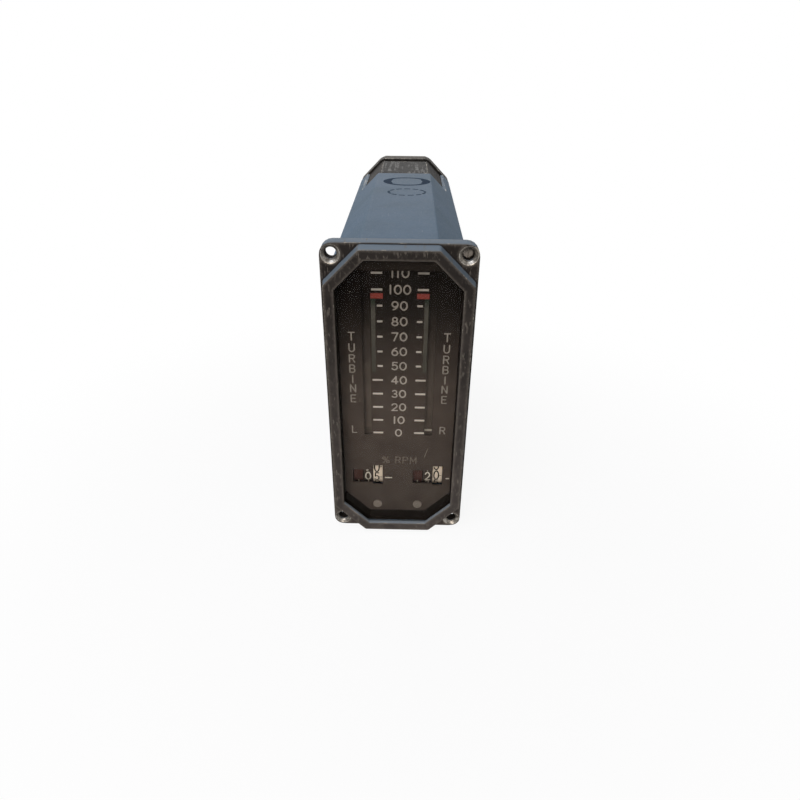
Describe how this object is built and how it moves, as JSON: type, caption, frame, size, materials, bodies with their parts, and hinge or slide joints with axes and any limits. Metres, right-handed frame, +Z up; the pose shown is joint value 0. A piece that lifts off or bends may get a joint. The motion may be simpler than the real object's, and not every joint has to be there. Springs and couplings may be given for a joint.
{
  "type": "turbine speed indicator",
  "caption": "Tall narrow panel instrument with two vertical percent speed scales, moving index marks and drum counters in an eight-sided case.",
  "frame": {"origin": "centre of the four fixing holes, on the front face of the panel flange", "axes": "+X to the viewer's right across the dial, +Y from the dial back through the case, +Z up the scales"},
  "size_m": [0.0604, 0.2267, 0.1386],
  "materials": {
    "bezel_paint": "matte black enamel, worn pale on the edges",
    "case_paint": "satin blue-grey enamel",
    "frame_casting": "dark anodised casting",
    "cover_casting": "worn grey-brown enamel",
    "plate_black": "bare black anodised plate",
    "glass": "clear, lightly scratched",
    "rubber": "matte moulded rubber",
    "mask_black": "dead black",
    "dial_black": "faded matte black dial paint",
    "screw_steel": "dull plated steel",
    "plate_aluminium": "milled sheet",
    "brass": "turned brass",
    "tape_film": "black film",
    "index_white": "matte white",
    "drum_dark": "moulded dark nylon",
    "units_cream": "yellowed white",
    "tens_black": "matte black",
    "hundreds_red": "dark red-brown",
    "pinion_steel": "cut steel",
    "motor_steel": "turned steel can",
    "potentiometer_green": "moulded",
    "board_green": "lacquered glass-fibre board",
    "transformer_iron": "varnished laminations",
    "connector_shell": "plated shell",
    "insert_green": "moulded insert",
    "contact_gold": "gold-plated contacts"
  },
  "bodies": {
    "root": {"front_bezel": "bezel_paint", "window_gasket": "rubber", "window_glass": "glass", "dial_spacer": "mask_black", "dial_plate": "dial_black", "dial_screws": "screw_steel", "front_frame": "plate_aluminium", "centre_plate": "plate_aluminium", "side_plate_left": "plate_aluminium", "side_plate_right": "plate_aluminium", "frame_posts": "screw_steel", "shaft_bushes": "brass", "tape_left": "tape_film", "tape_right": "tape_film", "idler_studs": "screw_steel", "tape_motor_left": "motor_steel", "tape_motor_right": "motor_steel", "potentiometer_left": "potentiometer_green", "potentiometer_right": "potentiometer_green", "counter_motor_left": "motor_steel", "counter_motor_right": "motor_steel", "amplifier_board_left": "board_green", "amplifier_board_right": "board_green", "board_standoffs": "screw_steel", "rear_frame": "frame_casting", "power_board": "board_green", "transformer": "transformer_iron", "case_sleeve": "case_paint", "data_plate": "plate_black", "rear_gasket": "rubber", "rear_cover": "cover_casting", "rear_cover_screws": "screw_steel", "connector_shell": "connector_shell", "connector_insert": "insert_green", "connector_pins": "contact_gold", "connector_screws": "screw_steel"},
    "tape_drive_left": {"tape_drum_left": "drum_dark", "tape_shaft_left": "brass"},
    "index_left": {"index_left": "index_white"},
    "tape_idler_left": {"idler_pulley_left": "drum_dark"},
    "tape_middle_gear_left": {"tape_middle_gear_left": "brass"},
    "tape_pinion_left": {"tape_pinion_left": "pinion_steel"},
    "tape_drive_right": {"tape_drum_right": "drum_dark", "tape_shaft_right": "brass"},
    "index_right": {"index_right": "index_white"},
    "tape_idler_right": {"idler_pulley_right": "drum_dark"},
    "tape_middle_gear_right": {"tape_middle_gear_right": "brass"},
    "tape_pinion_right": {"tape_pinion_right": "pinion_steel"},
    "units_left": {"units_drum_left": "units_cream", "counter_shaft_left": "brass"},
    "tens_left": {"tens_drum_left": "tens_black"},
    "hundreds_left": {"hundreds_drum_left": "hundreds_red"},
    "counter_middle_gear_left": {"counter_middle_gear_left": "brass"},
    "counter_pinion_left": {"counter_pinion_left": "pinion_steel"},
    "units_right": {"units_drum_right": "units_cream", "counter_shaft_right": "brass"},
    "tens_right": {"tens_drum_right": "tens_black"},
    "hundreds_right": {"hundreds_drum_right": "hundreds_red"},
    "counter_middle_gear_right": {"counter_middle_gear_right": "brass"},
    "counter_pinion_right": {"counter_pinion_right": "pinion_steel"}
  },
  "joints": [
    {"name": "tape_drive_left", "type": "hinge", "parent": "root", "child": "tape_drive_left", "pos_m": [0, 0.01285, -0.027], "axis": [-1, 0, 0], "range_deg": [0, 816.8]},
    {"name": "index_left_slide", "type": "slide", "parent": "root", "child": "index_left", "axis": [0, 0, 1], "range_m": [0, 0.07449]},
    {"name": "tape_idler_left_turn", "type": "hinge", "parent": "root", "child": "tape_idler_left", "pos_m": [0, 0.01285, 0.05763], "axis": [-1, 0, 0], "range_deg": [0, 816.8]},
    {"name": "tape_middle_gear_left_turn", "type": "hinge", "parent": "root", "child": "tape_middle_gear_left", "pos_m": [0, 0.02685, -0.027], "axis": [-1, 0, 0], "range_deg": [-453.78, 0.01]},
    {"name": "tape_pinion_left_turn", "type": "hinge", "parent": "root", "child": "tape_pinion_left", "pos_m": [0, 0.03885, -0.027], "axis": [-1, 0, 0], "range_deg": [-0.01, 1361.34]},
    {"name": "tape_drive_right", "type": "hinge", "parent": "root", "child": "tape_drive_right", "pos_m": [0, 0.01285, -0.027], "axis": [-1, 0, 0], "range_deg": [0, 816.8]},
    {"name": "index_right_slide", "type": "slide", "parent": "root", "child": "index_right", "axis": [0, 0, 1], "range_m": [0, 0.07449]},
    {"name": "tape_idler_right_turn", "type": "hinge", "parent": "root", "child": "tape_idler_right", "pos_m": [0, 0.01285, 0.05763], "axis": [-1, 0, 0], "range_deg": [0, 816.8]},
    {"name": "tape_middle_gear_right_turn", "type": "hinge", "parent": "root", "child": "tape_middle_gear_right", "pos_m": [0, 0.02685, -0.027], "axis": [-1, 0, 0], "range_deg": [-453.78, 0.01]},
    {"name": "tape_pinion_right_turn", "type": "hinge", "parent": "root", "child": "tape_pinion_right", "pos_m": [0, 0.03885, -0.027], "axis": [-1, 0, 0], "range_deg": [-0.01, 1361.34]},
    {"name": "units_left_turn", "type": "hinge", "parent": "root", "child": "units_left", "pos_m": [0, 0.015, -0.0436], "axis": [-1, 0, 0], "range_deg": [-36, 756]},
    {"name": "tens_left_turn", "type": "hinge", "parent": "root", "child": "tens_left", "pos_m": [0, 0.015, -0.0436], "axis": [-1, 0, 0], "range_deg": [-18.01, 378.01]},
    {"name": "hundreds_left_turn", "type": "hinge", "parent": "root", "child": "hundreds_left", "pos_m": [0, 0.015, -0.0436], "axis": [-1, 0, 0], "range_deg": [-1.81, 37.81]},
    {"name": "counter_middle_gear_left_turn", "type": "hinge", "parent": "root", "child": "counter_middle_gear_left", "pos_m": [0, 0.03125, -0.04647], "axis": [-1, 0, 0], "range_deg": [-630.01, 30.01]},
    {"name": "counter_pinion_left_turn", "type": "hinge", "parent": "root", "child": "counter_pinion_left", "pos_m": [0, 0.04325, -0.04647], "axis": [-1, 0, 0], "range_deg": [-90.01, 1890.01]},
    {"name": "units_right_turn", "type": "hinge", "parent": "root", "child": "units_right", "pos_m": [0, 0.015, -0.0436], "axis": [-1, 0, 0], "range_deg": [-144, 648]},
    {"name": "tens_right_turn", "type": "hinge", "parent": "root", "child": "tens_right", "pos_m": [0, 0.015, -0.0436], "axis": [-1, 0, 0], "range_deg": [-72.01, 324.01]},
    {"name": "hundreds_right_turn", "type": "hinge", "parent": "root", "child": "hundreds_right", "pos_m": [0, 0.015, -0.0436], "axis": [-1, 0, 0], "range_deg": [-7.21, 32.41]},
    {"name": "counter_middle_gear_right_turn", "type": "hinge", "parent": "root", "child": "counter_middle_gear_right", "pos_m": [0, 0.03125, -0.04647], "axis": [-1, 0, 0], "range_deg": [-540.01, 120.01]},
    {"name": "counter_pinion_right_turn", "type": "hinge", "parent": "root", "child": "counter_pinion_right", "pos_m": [0, 0.04325, -0.04647], "axis": [-1, 0, 0], "range_deg": [-360.01, 1620.01]}
  ],
  "couplings": [
    {"joint": "index_left_slide", "follows": "tape_drive_left", "m_per_rad": 0.005225},
    {"joint": "tape_idler_left_turn", "follows": "tape_drive_left", "ratio": 1},
    {"joint": "tape_middle_gear_left_turn", "follows": "tape_drive_left", "ratio": -0.55556},
    {"joint": "tape_pinion_left_turn", "follows": "tape_drive_left", "ratio": 1.6667},
    {"joint": "index_right_slide", "follows": "tape_drive_right", "m_per_rad": 0.005225},
    {"joint": "tape_idler_right_turn", "follows": "tape_drive_right", "ratio": 1},
    {"joint": "tape_middle_gear_right_turn", "follows": "tape_drive_right", "ratio": -0.55556},
    {"joint": "tape_pinion_right_turn", "follows": "tape_drive_right", "ratio": 1.6667},
    {"joint": "tens_left_turn", "follows": "units_left_turn", "ratio": 0.5},
    {"joint": "hundreds_left_turn", "follows": "units_left_turn", "ratio": 0.05},
    {"joint": "counter_middle_gear_left_turn", "follows": "units_left_turn", "ratio": -0.83333},
    {"joint": "counter_pinion_left_turn", "follows": "units_left_turn", "ratio": 2.5},
    {"joint": "tens_right_turn", "follows": "units_right_turn", "ratio": 0.5},
    {"joint": "hundreds_right_turn", "follows": "units_right_turn", "ratio": 0.05},
    {"joint": "counter_middle_gear_right_turn", "follows": "units_right_turn", "ratio": -0.83333},
    {"joint": "counter_pinion_right_turn", "follows": "units_right_turn", "ratio": 2.5}
  ]
}
